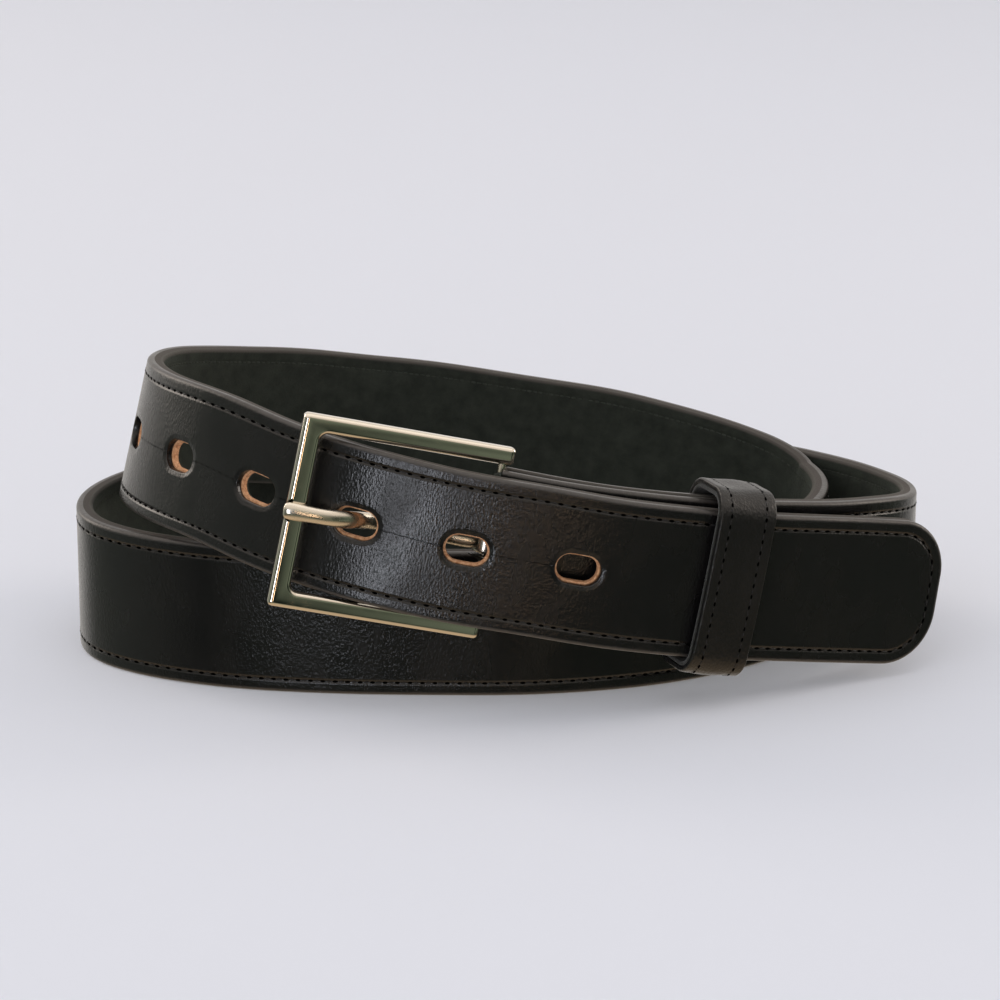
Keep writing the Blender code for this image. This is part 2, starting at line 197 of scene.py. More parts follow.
curve = smooth(route)
leaning = np.radians(curve[:, 3:])
lift = axes(curve[:, :3], leaning)[1][:, 2]
toOrigin = np.array([-0.9, 1.7, 0.06])     # puts the middle of the footprint on the origin
centre = curve[:, :3] + np.c_[0 * lift, 0 * lift, strap["width"] / 2 * lift] + toOrigin
along, up, out = axes(centre, leaning)
length = np.r_[0, np.cumsum(np.linalg.norm(np.diff(centre, axis=0), axis=1))]
strapLength = length[-1]
barTurn = strap["turn at the bar"]
halfTurn = pi * barTurn
barCentre = centre[0] - out[0] * barTurn
holePlaces = [strapLength - strap["first hole"] - strap["hole pitch"] * k for k in range(strap["holes"])]


def read(table, s):
    return np.stack([np.interp(s, length, table[:, k]) for k in range(3)], -1)


def ramp(s, start, end):
    f = np.clip((s - start) / (end - start), 0, 1)
    return f * f * (3 - 2 * f)


def bend(flat):
    # flat rows of (s along the strap, u up its width, n outward), mm, to places in metres
    s, u, n = np.asarray(flat, float).T
    back = -s - halfTurn
    folded, round_ = (back > 0)[:, None], ((s < 0) & (back <= 0))[:, None]
    at = np.where(s >= 0, s, np.where(back > 0, back, 0))
    p, o, w = read(centre, at), read(out, at), read(up, at)
    apart = (2 * barTurn + (strap["fold apart"] - 2 * barTurn) * ramp(back, 0, 34))[:, None]
    turn = (pi * np.clip(-s / halfTurn, 0, 1))[:, None]
    turned = out[0] * np.cos(turn) - along[0] * np.sin(turn)
    p = np.where(folded, p - o * apart, np.where(round_, barCentre + turned * barTurn, p))
    o = np.where(folded, -o, np.where(round_, turned, o))
    return (p + o * n[:, None] + w * u[:, None]) * mm


print("route ready, strap", round(strapLength, 1), "mm")

# ---- colours and nodes ----
def hexColour(text):
    parts = [int(text[i:i + 2], 16) / 255 for i in (1, 3, 5)]
    return (*[c / 12.92 if c <= 0.04045 else ((c + 0.055) / 1.055) ** 2.4 for c in parts], 1)


def node(mat, kind, links=None, **settings):
    made = mat.node_tree.nodes.new("ShaderNode" + kind)
    for key, value in settings.items():
        setattr(made, key, value)
    for key, value in (links or {}).items():
        if isinstance(value, bpy.types.Node):
            value = value.outputs[0]
        if isinstance(value, bpy.types.NodeSocket):
            mat.node_tree.links.new(value, made.inputs[key])
        else:
            made.inputs[key].default_value = value
    return made


def newMaterial(name, **sockets):
    mat = bpy.data.materials.new(name)
    mat.use_nodes = True
    mat.node_tree.nodes.clear()
    shader = node(mat, "BsdfPrincipled", {key.replace("_", " "): value for key, value in sockets.items()})
    node(mat, "OutputMaterial", {"Surface": shader})
    return mat, shader


def link(mat, shader, **sources):
    for key, value in sources.items():
        mat.node_tree.links.new(value.outputs[0], shader.inputs[key.replace("_", " ")])


def flatPlace(mat):
    # millimetres along the strap and across it, from the piece's own UV map
    parts = node(mat, "SeparateXYZ", {0: node(mat, "UVMap", uv_map="flat")})
    s = node(mat, "Math", {0: parts.outputs[0], 1: 1000}, operation="MULTIPLY")
    u = node(mat, "Math", {0: parts.outputs[1], 1: 1000}, operation="MULTIPLY")
    return s, node(mat, "Math", {0: u}, operation="ABSOLUTE"), u


def edgeGap(mat, s, u):
    # distance in from the strap's outline, round its tip too, mm
    corner = strap["tip corner"]
    qx = node(mat, "Math", {0: s, 1: strapLength - corner}, operation="SUBTRACT")
    qy = node(mat, "Math", {0: u, 1: strap["width"] / 2 - corner}, operation="SUBTRACT")
    px = node(mat, "Math", {0: qx, 1: 0}, operation="MAXIMUM")
    py = node(mat, "Math", {0: qy, 1: 0}, operation="MAXIMUM")
    x2 = node(mat, "Math", {0: px, 1: px}, operation="MULTIPLY")
    y2 = node(mat, "Math", {0: py, 1: py, 2: x2}, operation="MULTIPLY_ADD")
    far = node(mat, "Math", {0: y2}, operation="SQRT")
    inner = node(mat, "Math", {0: node(mat, "Math", {0: qx, 1: qy}, operation="MAXIMUM"), 1: 0},
                 operation="MINIMUM")
    reach = node(mat, "Math", {0: far, 1: inner}, operation="ADD")
    return node(mat, "Math", {0: corner, 1: reach}, operation="SUBTRACT")


def holeGap(mat, s, u):
    # distance out from the nearest buckle hole, mm
    pitch, first = strap["hole pitch"], holePlaces[-1]
    wrapped = node(mat, "Math", {0: s, 1: first + pitch / 2, 2: first - pitch / 2}, operation="WRAP")
    x = node(mat, "Math", {0: node(mat, "Math", {0: wrapped, 1: first}, operation="SUBTRACT")},
             operation="ABSOLUTE")
    px = node(mat, "Math", {0: x, 1: (strap["hole length"] - strap["hole width"]) / 2}, operation="SUBTRACT")
    px = node(mat, "Math", {0: px, 1: 0}, operation="MAXIMUM")
    x2 = node(mat, "Math", {0: px, 1: px}, operation="MULTIPLY")
    y2 = node(mat, "Math", {0: u, 1: u, 2: x2}, operation="MULTIPLY_ADD")
    gap = node(mat, "Math", {0: node(mat, "Math", {0: y2}, operation="SQRT"),
                             1: strap["hole width"] / 2}, operation="SUBTRACT")
    below = node(mat, "Math", {0: s, 1: holePlaces[-1] - pitch / 2}, operation="LESS_THAN")
    above = node(mat, "Math", {0: s, 1: holePlaces[0] + pitch / 2}, operation="GREATER_THAN")
    outside = node(mat, "Math", {0: below, 1: above}, operation="ADD")
    return node(mat, "Math", {0: outside, 1: 50, 2: gap}, operation="MULTIPLY_ADD")


# ---- materials ----
# Smooth-finished cowhide, dyed through and plated: near black, semi-gloss, with fine pores that run
# up the strap; its cut edge is sanded and burnished to a duller warm grey.
blackHide = {"grain": 0.46, "edge": "#4a4540", "face": "#0b0b0c", "worn": "#141212"}


def hide(name, seam, useFlat=True, grainDepth=0.00008, roughness=0.25):
    mat, shader = newMaterial(name, Roughness=roughness, IOR=1.5, Specular_IOR_Level=0.5)
    if useFlat:
        s, u, across = flatPlace(mat)
        place = node(mat, "CombineXYZ", {0: s, 1: across, 2: 0})
        stretch = node(mat, "Mapping", {0: place, 3: (1 / blackHide["grain"], 0.55 / blackHide["grain"], 1)})
    else:
        place = node(mat, "TexCoord").outputs["Object"]
        stretch = node(mat, "Mapping", {0: place, 3: (1800, 1800, 1000)})
    pores = node(mat, "TexVoronoi", {"Vector": stretch, "Scale": 1.0, "Randomness": 1.0})   # 0.46 mm pores
    creases = node(mat, "TexNoise", {"Vector": stretch, "Scale": 0.9, "Detail": 4.0, "Roughness": 0.65})
    grain = node(mat, "Math", {0: creases, 1: 1.0, 2: pores}, operation="MULTIPLY_ADD")
    bump = node(mat, "Bump", {"Height": grain, "Strength": 0.55, "Distance": grainDepth})
    worn = node(mat, "TexNoise", {"Vector": stretch, "Scale": 0.05, "Detail": 3.0})
    rough = node(mat, "MapRange", {0: worn, 1: 0.3, 2: 0.7, 3: roughness - 0.05, 4: roughness + 0.07})
    colour = node(mat, "Mix", {"Factor": worn, 6: hexColour(blackHide["face"]), 7: hexColour(blackHide["worn"])},
                  data_type="RGBA")
    if useFlat:
        gap = edgeGap(mat, s, u)
        line = node(mat, "Math", {0: node(mat, "Math", {0: gap, 1: seam}, operation="SUBTRACT")},
                    operation="ABSOLUTE")
        groove = node(mat, "MapRange", {0: line, 1: 0.0, 2: 0.75, 3: 0.0, 4: 1.0},
                      interpolation_type="SMOOTHSTEP")
        press = node(mat, "MapRange", {0: holeGap(mat, s, u), 1: 0.1, 2: 1.3, 3: 0.0, 4: 1.0},
                     interpolation_type="SMOOTHSTEP")
        dents = node(mat, "Math", {0: groove, 1: press}, operation="ADD")
        bump = node(mat, "Bump", {"Height": dents, "Strength": 0.9, "Distance": 0.00022,
                                  "Normal": bump.outputs[0]})
        rim = node(mat, "MapRange", {0: gap, 1: 0.45, 2: 1.15, 3: 1.0, 4: 0.0},
                   interpolation_type="SMOOTHSTEP")
        fibres = node(mat, "TexNoise", {"Vector": node(mat, "TexCoord").outputs["Object"], "Scale": 900.0,
                                        "Detail": 3.0})
        burnish = node(mat, "Mix", {"Factor": fibres, 6: hexColour(blackHide["edge"]),
                                    7: hexColour("#292624")}, data_type="RGBA")
        colour = node(mat, "Mix", {"Factor": rim, 6: colour.outputs[2], 7: burnish.outputs[2]},
                      data_type="RGBA")
        rough = node(mat, "Math", {0: rim, 1: 0.1, 2: rough}, operation="MULTIPLY_ADD")
    mat.node_tree.links.new(colour.outputs[2], shader.inputs["Base Color"])
    link(mat, shader, Roughness=rough, Normal=bump)
    return mat


faceHide = hide("blackCowhideSmoothFinish", 3.2)
keeperHide = hide("blackCowhideKeeper", 3.2, useFlat=False, grainDepth=0.00014, roughness=0.34)

# Vegetable-tanned filler leather, left undyed: tan and fibrous in the holes, dyed black at the edge.
tanFiller, shader = newMaterial("vegetableTannedFiller", Roughness=0.75, Specular_IOR_Level=0.25)
s, u, across = flatPlace(tanFiller)
fibre = node(tanFiller, "TexNoise", {"Vector": node(tanFiller, "TexCoord").outputs["Object"],
                                     "Scale": 1500.0, "Detail": 4.0, "Roughness": 0.7})   # 0.6 mm tufts
tan = node(tanFiller, "ValToRGB", {0: fibre})
tan.color_ramp.elements[0].position, tan.color_ramp.elements[0].color = 0.3, hexColour("#a8683f")
tan.color_ramp.elements[1].position, tan.color_ramp.elements[1].color = 0.65, hexColour("#f2bf90")
rim = node(tanFiller, "MapRange", {0: edgeGap(tanFiller, s, u), 1: 1.0, 2: 3.0, 3: 1.0, 4: 0.0})
dyed = node(tanFiller, "Mix", {"Factor": rim, 6: tan.outputs[0], 7: hexColour("#4a4540")}, data_type="RGBA")
tanFiller.node_tree.links.new(dyed.outputs[2], shader.inputs["Base Color"])
link(tanFiller, shader, Normal=node(tanFiller, "Bump", {"Height": fibre, "Strength": 0.8,
                                                        "Distance": 0.00015}))

# Split-suede lining, dyed black with a green cast: matte, cloudy where the nap lies differently.
suede, shader = newMaterial("dyedSplitSuede", Roughness=0.88, Specular_IOR_Level=0.22, Sheen_Weight=0.25,
                            Sheen_Roughness=0.5, Sheen_Tint=hexColour("#8c948a"))
s, u, across = flatPlace(suede)
place = node(suede, "CombineXYZ", {0: s, 1: across, 2: 0})
cloud = node(suede, "TexNoise", {"Vector": place, "Scale": 0.2, "Detail": 6.0, "Roughness": 0.65})
nap = node(suede, "TexNoise", {"Vector": place, "Scale": 1.6, "Detail": 4.0, "Roughness": 0.7})
napColour = node(suede, "ValToRGB", {0: cloud})
napColour.color_ramp.elements[0].position, napColour.color_ramp.elements[0].color = 0.32, hexColour("#242722")
napColour.color_ramp.elements[1].position, napColour.color_ramp.elements[1].color = 0.72, hexColour("#353931")
gap = edgeGap(suede, s, u)
rim = node(suede, "MapRange", {0: gap, 1: 0.3, 2: 1.0, 3: 1.0, 4: 0.0}, interpolation_type="SMOOTHSTEP")
edged = node(suede, "Mix", {"Factor": rim, 6: napColour.outputs[0], 7: hexColour("#4e4943")}, data_type="RGBA")
suede.node_tree.links.new(edged.outputs[2], shader.inputs["Base Color"])
line = node(suede, "Math", {0: node(suede, "Math", {0: gap, 1: 3.2}, operation="SUBTRACT")},
            operation="ABSOLUTE")
groove = node(suede, "MapRange", {0: line, 1: 0.0, 2: 0.9, 3: 0.0, 4: 1.0}, interpolation_type="SMOOTHSTEP")
napHeight = node(suede, "Math", {0: nap, 1: 0.8, 2: groove}, operation="MULTIPLY_ADD")
link(suede, shader, Normal=node(suede, "Bump", {"Height": napHeight, "Strength": 0.8, "Distance": 0.0002}))

# Keeper lining: the same suede, but its pattern sits on the piece's own axes.
keeperSuede, shader = newMaterial("dyedSplitSuedeKeeper", Roughness=0.88, Specular_IOR_Level=0.22,
                                  Sheen_Weight=0.2)
nap = node(keeperSuede, "TexNoise", {"Vector": node(keeperSuede, "TexCoord").outputs["Object"],
                                     "Scale": 1400.0, "Detail": 4.0})
napColour = node(keeperSuede, "ValToRGB", {0: nap})
napColour.color_ramp.elements[0].color = hexColour("#141713")
napColour.color_ramp.elements[1].color = hexColour("#3a3a35")
link(keeperSuede, shader, Base_Color=napColour,
     Normal=node(keeperSuede, "Bump", {"Height": nap, "Strength": 0.8, "Distance": 0.0002}))

# Bonded nylon thread: black, slightly waxy, laid up from plies; a fine noise bump stands for their texture.
threadNylon, shader = newMaterial("bondedNylonThread", Base_Color=hexColour("#17171a"), Roughness=0.5,
                                  Specular_IOR_Level=0.4)
ply = node(threadNylon, "TexNoise", {"Vector": node(threadNylon, "TexCoord").outputs["Object"],
                                     "Scale": 2200.0, "Detail": 2.0})
link(threadNylon, shader, Normal=node(threadNylon, "Bump", {"Height": ply, "Strength": 0.6,
                                                            "Distance": 0.0001}))
# The same thread where it sinks into the suede, dulled by the nap's dust.
napThread, shader = newMaterial("bondedNylonThreadInNap", Roughness=0.8, Specular_IOR_Level=0.2)
dust = node(napThread, "TexNoise", {"Vector": node(napThread, "TexCoord").outputs["Object"], "Scale": 700.0})
dusty = node(napThread, "Mix", {"Factor": dust, 6: hexColour("#1c1f1b"), 7: hexColour("#4a4e45")},
             data_type="RGBA")
napThread.node_tree.links.new(dusty.outputs[2], shader.inputs["Base Color"])
# Painted shade: a flat matte black disc laid over each needle hole, standing in for the shade inside the hole.
paintedHoleShade, shader = newMaterial("paintedHoleShade", Base_Color=hexColour("#020202"), Roughness=1.0,
                                 Specular_IOR_Level=0.0)

# Nickel plate on a zinc casting, polished on a wheel: bright, a little warm, with faint wiping marks.
def nickelPlate(name, smoothest, roughest):
    mat, shader = newMaterial(name, Base_Color=hexColour("#dcd4c7"), Metallic=1.0)
    wipes = node(mat, "TexNoise", {"Vector": node(mat, "Mapping", {
        0: node(mat, "TexCoord").outputs["Object"], 3: (300, 900, 300)}), "Scale": 1.0, "Detail": 5.0})
    link(mat, shader, Roughness=node(mat, "MapRange", {0: wipes, 1: 0.3, 2: 0.75, 3: smoothest, 4: roughest}),
         Normal=node(mat, "Bump", {"Height": wipes, "Strength": 0.12, "Distance": 0.00003}))
    return mat


nickel = nickelPlate("polishedNickelPlate", 0.07, 0.17)
wornNickel = nickelPlate("nickelPlateRubbedByTheHoles", 0.22, 0.32)
print("materials ready")


# ---- strap layers: flat blocks, shaped and punched, then bent along the route ----
def punchTool(place, grow, size, width, sides=32):
    tool = rod("punch", width / 2 + grow, 20, (place, 0, 0), "Z", sides)
    shift = (size - width) / 2 * mm
    pick(tool, "verts", lambda v: v.co.x > place * mm + 1e-6)
    bpy.ops.transform.translate(value=(shift, 0, 0))
    pick(tool, "verts", lambda v: v.co.x < place * mm - 1e-6)
    bpy.ops.transform.translate(value=(-shift, 0, 0))
    clearSelection()
    return tool


def skived(s):
    # how far the lining rises where the filler is skived away before the fold, mm
    return strap["core"] * (1 - ramp(s, strap["core start"], strap["core full"]))


def strapLayer(name, start, low, high, rimAt, rimRound, grow, mat, thin=None):
    end = strapLength
    ob = block(name, (end - start, strap["width"], high - low), ((start + end) / 2, 0, (low + high) / 2))
    pick(ob, "edges", lambda e: all(v.co.x > (end - 1) * mm for v in e.verts)
         and abs(e.verts[0].co.z - e.verts[1].co.z) > 1e-5)
    bpy.ops.mesh.bevel(offset=strap["tip corner"] * mm, segments=16, affect="EDGES")
    if rimRound:
        pick(ob, "edges", lambda e: all(abs(v.co.z - rimAt * mm) < 1e-6 for v in e.verts))
        bpy.ops.mesh.bevel(offset=rimRound * mm, segments=5, affect="EDGES")
    tools = [punchTool(place, grow, strap["hole length"], strap["hole width"])
             for place in holePlaces if place > start]
    if start < 0:
        tools.append(punchTool(-halfTurn / 2, 0, strap["slot length"], strap["slot width"]))
    join(tools[0], tools[1:])
    cutWith(ob, tools[0])
    if name == "strapFace":      # the punch leaves a slightly rolled rim
        def onRim(v):
            if abs(v.co.z - high * mm) > 1e-6:
                return False
            for place in holePlaces:
                x = max(abs(v.co.x / mm - place) - (strap["hole length"] - strap["hole width"]) / 2, 0)
                if abs(np.hypot(x, v.co.y / mm) - strap["hole width"] / 2 - grow) < 0.03:
                    return True
            return False
        pick(ob, "edges", lambda e: all(onRim(v) for v in e.verts))
        bpy.ops.mesh.bevel(offset=0.3 * mm, segments=3, affect="EDGES")
    clearSelection()
    mesh = bmesh.new()
    mesh.from_mesh(ob.data)
    bmesh.ops.triangulate(mesh, faces=[f for f in mesh.faces if len(f.verts) > 4])
    for side in (-1, 1):     # a support line inside each rounded rim
        bmesh.ops.bisect_plane(mesh, geom=mesh.verts[:] + mesh.edges[:] + mesh.faces[:],
                               plane_co=(0, side * (strap["width"] / 2 - 1.6) * mm, 0), plane_no=(0, 1, 0))
    marks = list(np.arange(start + 1.5, -halfTurn - 0.5, strap["step"]))
    if start < 0:
        marks += [-halfTurn * k / 16 for k in range(17)]
    marks += list(np.arange(max(start, 0) + 1.7, end - 1, strap["step"]))
    live = mesh.faces[:]
    for mark in marks:
        edges, verts = {e for f in live for e in f.edges}, {v for f in live for v in f.verts}
        cutDone = bmesh.ops.bisect_plane(mesh, geom=list(verts) + list(edges) + live,
                                         plane_co=(mark * mm, 0, 0), plane_no=(1, 0, 0))
        live = [g for g in cutDone["geom"] if isinstance(g, bmesh.types.BMFace)
                and g.calc_center_median().x > mark * mm]
    mesh.to_mesh(ob.data)
    mesh.free()
    flat = coords(ob) / mm
    corners = np.zeros(len(ob.data.loops), int)
    ob.data.loops.foreach_get("vertex_index", corners)
    uv = ob.data.uv_layers[0] if ob.data.uv_layers else ob.data.uv_layers.new(name="flat")
    uv.name = "flat"
    uv.data.foreach_set("uv", (flat[corners, :2] * mm).ravel())
    if thin == "lining":
        flat[:, 2] += skived(flat[:, 0])
    if thin == "core":
        top = flat[:, 2].max()
        full = np.maximum(1 - skived(flat[:, 0]) / strap["core"], 0.02)
        flat[:, 2] = top - 0.02 - (top - 0.02 - flat[:, 2]) * full
    setCoords(ob, bend(flat))
    soften(ob, 40)
    paint(ob, mat)
    return ob


foldEnd = -halfTurn - strap["fold length"]
top = strap["half thickness"]
coreTop = top - strap["face"]
strapFace = strapLayer("strapFace", foldEnd, coreTop, top, top, 0.9, 0, faceHide)
strapCore = strapLayer("strapCore", strap["core start"], coreTop - strap["core"], coreTop, 0, 0, -0.5,
                       tanFiller, "core")
strapLining = strapLayer("strapLining", foldEnd, -top, -top + strap["lining"], -top, 0.6, -0.25, suede,
                         "lining")
print("strap layers bent", [len(o.data.polygons) for o in (strapFace, strapCore, strapLining)])

# ---- stitches: one stitch and a flat black disc of painted shade at its needle hole, repeated along each seam ----
# hole is the length of the painted shade disc at each needle hole, mm
stitching = {"pitch": 2.9, "length": 1.5, "thick": 0.42, "hole": 1.45, "inset": 3.2}


def stitchPattern():
    clearSelection()
    bpy.ops.mesh.primitive_uv_sphere_add(segments=8, ring_count=6, radius=0.5)
    thread = bpy.context.object
    pick(thread, "verts", lambda v: True)
    bpy.ops.transform.resize(value=(stitching["length"], stitching["thick"], stitching["thick"] * 0.8))
    bpy.ops.object.mode_set(mode="OBJECT")
    clearSelection()
    # a thin flat disc beside the stitch, coloured black as painted shade for its needle hole
    bpy.ops.mesh.primitive_uv_sphere_add(segments=8, ring_count=4, radius=0.5,
                                         location=(stitching["pitch"] / 2, 0, 0.02))
    holeShadeDisc = bpy.context.object
    pick(holeShadeDisc, "verts", lambda v: True)
    bpy.ops.transform.resize(value=(stitching["hole"], 0.7, 0.14))
    bpy.ops.object.mode_set(mode="OBJECT")
    bpy.ops.object.transform_apply(location=True)
    shape = [(coords(thread), [tuple(p.vertices) for p in thread.data.polygons], 0),
             (coords(holeShadeDisc), [tuple(p.vertices) for p in holeShadeDisc.data.polygons], 1)]
    for ob in (thread, holeShadeDisc):
        bpy.data.objects.remove(ob)
    return shape


oneStitch = stitchPattern()


def walk(points, pitch):
    # places and directions every pitch along a flat line
    points = np.array(points, float)
    steps = np.r_[0, np.cumsum(np.linalg.norm(np.diff(points, axis=0), axis=1))]
    at = np.arange(pitch / 2, steps[-1] - pitch / 2, pitch)
    where = np.stack([np.interp(at, steps, points[:, k]) for k in range(points.shape[1])], -1)
    ahead = np.stack([np.interp(at + 0.4, steps, points[:, k]) for k in range(points.shape[1])], -1) - where
    return where, unit(ahead)


def sewn(name, places, lay, body, nodes, outward=1, height=0.0):
    # lay turns local stitch points (along, across, out) at each place into metres
    verts, faces, kinds, count = [], [], [], 0
    for k in range(len(places[0])):
        for shape, polygons, kind in oneStitch:
            local = shape * np.array([1, 1, outward])
            verts.append(lay(places[0][k], places[1][k], local, height))
            for poly in polygons:
                row = [count + i for i in poly]
                faces.append(row if outward > 0 else row[::-1])
                kinds.append(kind)
            count += len(shape)
    data = bpy.data.meshes.new(name)
    data.from_pydata(np.concatenate(verts).tolist(), [], faces)
    data.update()
    ob = bpy.data.objects.new(name, data)
    bpy.context.scene.collection.objects.link(ob)
    paint(ob, threadNylon, paintedHoleShade)
    data.polygons.foreach_set("material_index", kinds)
    choose(ob)
    bpy.ops.object.shade_smooth()
    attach(ob, body)
    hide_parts(*nodes)
    return ob


def layFlat(where, ahead, local, height):
    n0, lining = height
    flat = np.c_[where[0] + local[:, 0] * ahead[0] - local[:, 1] * ahead[1],
                 where[1] + local[:, 0] * ahead[1] + local[:, 1] * ahead[0], n0 + local[:, 2]]
    if lining:
        flat[:, 2] += skived(flat[:, 0])
    return bend(flat)


def edgeLine(start):
    inset, corner = stitching["inset"], strap["tip corner"]
    half, radius, end = strap["width"] / 2 - inset, corner - inset, strapLength - inset
    line = [(start, -half)] + [(end - radius + radius * sin(a), -half + radius - radius * cos(a))
                               for a in np.linspace(0, pi / 2, 30)]
    return line + [(s_, -u_) for s_, u_ in reversed(line)]


seamFace = sewn("seamThreadFace", walk(edgeLine(8), stitching["pitch"]), layFlat, "belt",
                ["seam_thread_face"], 1, (top - 0.04, False))
seamLining = sewn("seamThreadLining", walk(edgeLine(74), stitching["pitch"]), layFlat, "belt",
                  ["seam_thread_lining"], -1, (-top + 0.04, True))
seamLining.data.materials[0] = seamLining.data.materials[1] = napThread
for name, back, nodeName in (("foldSeamBar", 19, "fold_seam_bar"), ("foldSeamEnd", 44, "fold_seam_end")):
    s0 = -halfTurn - back
    sewn(name, walk([(s0, -14), (s0, 14)], 3.0), layFlat, "belt", [nodeName], 1, (top - 0.02, False))
for ob, body, slotName, nodes in ((strapFace, "belt", "black_leather", ["strap_face"]),
                                  (strapCore, "belt", "tan_leather", ["strap_core"]),
                                  (strapLining, "belt", "lining_leather", ["strap_lining"])):
    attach(ob, body)
    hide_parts(*nodes)
print("seams sewn")

# ---- buckle: local x from heel bar to front bar, y along the bars, z outward ----
buckle = {"length": 45.0, "inside": 37.0, "arm": 4.1, "front": 4.6, "thick": 3.4, "end": -2.3,
          "bar": 1.0, "roundness": 1.4, "outer corner": 1.2, "inner corner": 1.8, "notch": 3.4}
barUp = up[0]
frontBarMiddle = np.array([-47.6, -57.9, 49.2])
reach = frontBarMiddle - barCentre
reach = unit(reach - (reach @ barUp) * barUp)
outward = np.cross(reach, barUp)
outward *= np.sign(outward @ out[0])
acrossBars = barUp * np.sign(np.cross(outward, reach) @ barUp)
place = Matrix([[*row, h] for row, h in zip(np.c_[reach, acrossBars, outward], barCentre * mm)]
               + [[0, 0, 0, 1]])


def setOnBelt(ob, matrix):
    ob.data.transform(matrix)
    ob.data.update()


height = buckle["inside"] + 2 * buckle["arm"]
outerEnd = buckle["length"] + buckle["front"] / 2
frameOb = block("buckleFrame", (outerEnd - buckle["end"], height, buckle["thick"]),
                ((outerEnd + buckle["end"]) / 2, 0, 0))
pick(frameOb, "edges", lambda e: all(v.co.x > 0.04 for v in e.verts)
     and abs(e.verts[0].co.z - e.verts[1].co.z) > 1e-4)
bpy.ops.mesh.bevel(offset=buckle["outer corner"] * mm, segments=6, affect="EDGES")
innerEnd = buckle["length"] - buckle["front"] / 2
opening = block("opening", (innerEnd + 10, buckle["inside"], 20), ((innerEnd - 10) / 2, 0, 0))
pick(opening, "edges", lambda e: all(v.co.x > 0.03 for v in e.verts)
     and abs(e.verts[0].co.z - e.verts[1].co.z) > 1e-4)
bpy.ops.mesh.bevel(offset=buckle["inner corner"] * mm, segments=6, affect="EDGES")
cutWith(frameOb, opening)
useModifier(frameOb, "BEVEL", width=buckle["roundness"] * mm, segments=5, limit_method="ANGLE",
            angle_limit=radians(50), profile=0.55)
cutWith(frameOb, rod("notch", buckle["notch"], 12, (buckle["length"], 0, buckle["thick"] / 2 + 2.1), "X"))
cutWith(frameOb, rod("pinHole", buckle["bar"] + 0.3, buckle["inside"] + buckle["arm"], (0, 0, 0), "Y"))
useModifier(frameOb, "BEVEL", width=0.22 * mm, segments=3, limit_method="ANGLE", angle_limit=radians(48))
setOnBelt(frameOb, place)
soften(frameOb, 30)
paint(frameOb, nickel)

heelBar = rod("heelBar", buckle["bar"], buckle["inside"] + buckle["arm"] - 0.6, (0, 0, 0), "Y")
useModifier(heelBar, "BEVEL", width=0.3 * mm, segments=3, limit_method="ANGLE", angle_limit=radians(50))
setOnBelt(heelBar, place)
soften(heelBar)
paint(heelBar, nickel)

# prong: a disc pushed out ring by ring along its side view, then rounded
prongShape = {
    "rings": [(1.5, 1.7), (7, 1.0), (13, -0.4), (19, -1.9), (23.5, -2.8), (27, -2.2), (30.8, 0.1),
              (34.6, 2.4), (38, 3.1), (41.5, 3.0), (44.6, 2.7), (47.2, 2.4), (48.1, 2.3)],
    "half width": [1.9, 1.9, 1.9, 1.9, 1.95, 2.0, 2.05, 2.1, 1.95, 1.95, 2.1, 2.15, 1.5],
    "half thick": [1.3, 1.3, 1.35, 1.35, 1.4, 1.4, 1.45, 1.4, 1.3, 1.2, 1.2, 1.1, 0.6]}
clearSelection()
x0, z0 = prongShape["rings"][0]
bpy.ops.mesh.primitive_circle_add(vertices=12, radius=1 * mm, fill_type="NGON",
                                  location=(x0 * mm, 0, z0 * mm), rotation=(0, pi / 2, 0))
prong = bpy.context.object
prong.name = "prong"
bpy.ops.object.transform_apply(location=True, rotation=True)
bpy.ops.object.mode_set(mode="EDIT")
bpy.ops.mesh.select_all(action="SELECT")
for (x0, z0), (x1, z1) in zip(prongShape["rings"], prongShape["rings"][1:]):
    bpy.ops.mesh.extrude_region_move(TRANSFORM_OT_translate={"value": ((x1 - x0) * mm, 0, (z1 - z0) * mm)})
bpy.ops.object.mode_set(mode="OBJECT")
co = coords(prong)
ringX = np.array([r[0] for r in prongShape["rings"]])
ringZ = np.array([r[1] for r in prongShape["rings"]])
nearest = np.abs(co[:, 0:1] / mm - ringX).argmin(1)
lean = np.arctan(np.gradient(ringZ, ringX))[nearest]
co[:, 1] *= np.array(prongShape["half width"])[nearest]
off = (co[:, 2] / mm - ringZ[nearest]) * np.array(prongShape["half thick"])[nearest]
co[:, 2] = (ringZ[nearest] + off * np.cos(lean)) * mm
co[:, 0] = (ringX[nearest] - off * np.sin(lean)) * mm
setCoords(prong, co)
pick(prong, "faces", lambda f: True)
bpy.ops.mesh.normals_make_consistent(inside=False)
bpy.ops.object.mode_set(mode="OBJECT")
useModifier(prong, "SUBSURF", levels=2, render_levels=2)
eye = rod("eye", buckle["bar"] + 2.2, 4.8, (0, 0, 0), "Y")
useModifier(eye, "BEVEL", width=0.6 * mm, segments=4, limit_method="ANGLE", angle_limit=radians(50))
cutWith(prong, eye, "UNION")
cutWith(prong, rod("eyeHole", buckle["bar"] + 0.3, 20, (0, 0, 0), "Y"))
setOnBelt(prong, place)
soften(prong, 40)
paint(prong, wornNickel)
for ob, body, nodeName in ((frameOb, "frame", "buckle_frame"), (heelBar, "frame", "heel_bar"),
                           (prong, "prong", "prong")):
    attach(ob, body)
    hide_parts(nodeName)
print("buckle made")

